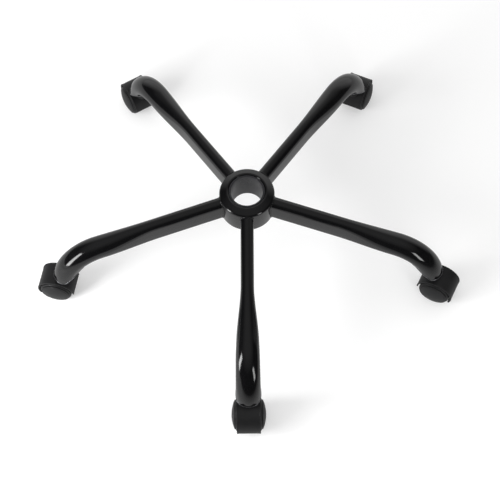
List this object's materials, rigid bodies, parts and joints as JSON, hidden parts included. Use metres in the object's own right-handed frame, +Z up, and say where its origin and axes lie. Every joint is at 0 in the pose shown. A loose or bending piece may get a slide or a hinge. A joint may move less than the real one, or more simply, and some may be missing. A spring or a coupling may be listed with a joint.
{
  "type": "office chair five star base",
  "caption": "Five star office chair base: a steel hub with a tapered gas spring socket, five tube arms bent down at their ends and hooded twin wheel swivel casters.",
  "frame": {"origin": "centre of the gas spring socket's mouth, on the column axis", "axes": "+Z up along the column; -Y along the front arm"},
  "size_m": [0.6705, 0.64, 0.1548],
  "materials": {
    "powder_coated_steel": "gloss black powder coat",
    "socket_steel": "thin black coat on a turned bore",
    "nylon_plug": "moulded nylon",
    "zinc_plated_steel": "bright zinc plate",
    "spring_steel": "bright spring steel",
    "nylon_hood": "satin moulded nylon",
    "nylon_wheel": "satin moulded nylon"
  },
  "bodies": {
    "frame": {"hub_shell": "powder_coated_steel", "hub_sleeve": "socket_steel", "hub_base_ring": "powder_coated_steel", "arm_front": "powder_coated_steel", "arm_front_right": "powder_coated_steel", "arm_back_right": "powder_coated_steel", "arm_back_left": "powder_coated_steel", "arm_front_left": "powder_coated_steel", "socket_front": "nylon_plug", "socket_front_right": "nylon_plug", "socket_back_right": "nylon_plug", "socket_back_left": "nylon_plug", "socket_front_left": "nylon_plug", "stem_front": "zinc_plated_steel", "stem_front_right": "zinc_plated_steel", "stem_back_right": "zinc_plated_steel", "stem_back_left": "zinc_plated_steel", "stem_front_left": "zinc_plated_steel", "grip_ring_front": "spring_steel", "grip_ring_front_right": "spring_steel", "grip_ring_back_right": "spring_steel", "grip_ring_back_left": "spring_steel", "grip_ring_front_left": "spring_steel"},
    "caster_front": {"hood_front": "nylon_hood", "axle_front": "zinc_plated_steel"},
    "wheel_left_front": {"wheel_left_front": "nylon_wheel"},
    "wheel_right_front": {"wheel_right_front": "nylon_wheel"},
    "caster_front_right": {"hood_front_right": "nylon_hood", "axle_front_right": "zinc_plated_steel"},
    "wheel_left_front_right": {"wheel_left_front_right": "nylon_wheel"},
    "wheel_right_front_right": {"wheel_right_front_right": "nylon_wheel"},
    "caster_back_right": {"hood_back_right": "nylon_hood", "axle_back_right": "zinc_plated_steel"},
    "wheel_left_back_right": {"wheel_left_back_right": "nylon_wheel"},
    "wheel_right_back_right": {"wheel_right_back_right": "nylon_wheel"},
    "caster_back_left": {"hood_back_left": "nylon_hood", "axle_back_left": "zinc_plated_steel"},
    "wheel_left_back_left": {"wheel_left_back_left": "nylon_wheel"},
    "wheel_right_back_left": {"wheel_right_back_left": "nylon_wheel"},
    "caster_front_left": {"hood_front_left": "nylon_hood", "axle_front_left": "zinc_plated_steel"},
    "wheel_left_front_left": {"wheel_left_front_left": "nylon_wheel"},
    "wheel_right_front_left": {"wheel_right_front_left": "nylon_wheel"}
  },
  "joints": [
    {"name": "swivel_front", "type": "hinge", "parent": "frame", "child": "caster_front", "pos_m": [0, -0.301, -0.129], "axis": [0, 0, 1], "continuous": true},
    {"name": "roll_left_front", "type": "hinge", "parent": "caster_front", "child": "wheel_left_front", "pos_m": [0, -0.3175, -0.129], "axis": [1, 0, 0], "continuous": true},
    {"name": "roll_right_front", "type": "hinge", "parent": "caster_front", "child": "wheel_right_front", "pos_m": [0, -0.3175, -0.129], "axis": [1, 0, 0], "continuous": true},
    {"name": "swivel_front_right", "type": "hinge", "parent": "frame", "child": "caster_front_right", "pos_m": [0.28627, -0.09301, -0.129], "axis": [0, 0, 1], "continuous": true},
    {"name": "roll_left_front_right", "type": "hinge", "parent": "caster_front_right", "child": "wheel_left_front_right", "pos_m": [0.3011, -0.10025, -0.129], "axis": [0.4384, 0.8988, 0], "continuous": true},
    {"name": "roll_right_front_right", "type": "hinge", "parent": "caster_front_right", "child": "wheel_right_front_right", "pos_m": [0.3011, -0.10025, -0.129], "axis": [0.4384, 0.8988, 0], "continuous": true},
    {"name": "swivel_back_right", "type": "hinge", "parent": "frame", "child": "caster_back_right", "pos_m": [0.17692, 0.24351, -0.129], "axis": [0, 0, 1], "continuous": true},
    {"name": "roll_left_back_right", "type": "hinge", "parent": "caster_back_right", "child": "wheel_left_back_right", "pos_m": [0.18363, 0.25859, -0.129], "axis": [-0.9135, 0.4067, 0], "continuous": true},
    {"name": "roll_right_back_right", "type": "hinge", "parent": "caster_back_right", "child": "wheel_right_back_right", "pos_m": [0.18363, 0.25859, -0.129], "axis": [-0.9135, 0.4067, 0], "continuous": true},
    {"name": "swivel_back_left", "type": "hinge", "parent": "frame", "child": "caster_back_left", "pos_m": [-0.17692, 0.24351, -0.129], "axis": [0, 0, 1], "continuous": true},
    {"name": "roll_left_back_left", "type": "hinge", "parent": "caster_back_left", "child": "wheel_left_back_left", "pos_m": [-0.18517, 0.2578, -0.129], "axis": [-0.866, -0.5, 0], "continuous": true},
    {"name": "roll_right_back_left", "type": "hinge", "parent": "caster_back_left", "child": "wheel_right_back_left", "pos_m": [-0.18517, 0.2578, -0.129], "axis": [-0.866, -0.5, 0], "continuous": true},
    {"name": "swivel_front_left", "type": "hinge", "parent": "frame", "child": "caster_front_left", "pos_m": [-0.28627, -0.09301, -0.129], "axis": [0, 0, 1], "continuous": true},
    {"name": "roll_left_front_left", "type": "hinge", "parent": "caster_front_left", "child": "wheel_left_front_left", "pos_m": [-0.30246, -0.08987, -0.129], "axis": [-0.1908, -0.9816, 0], "continuous": true},
    {"name": "roll_right_front_left", "type": "hinge", "parent": "caster_front_left", "child": "wheel_right_front_left", "pos_m": [-0.30246, -0.08987, -0.129], "axis": [-0.1908, -0.9816, 0], "continuous": true}
  ]
}
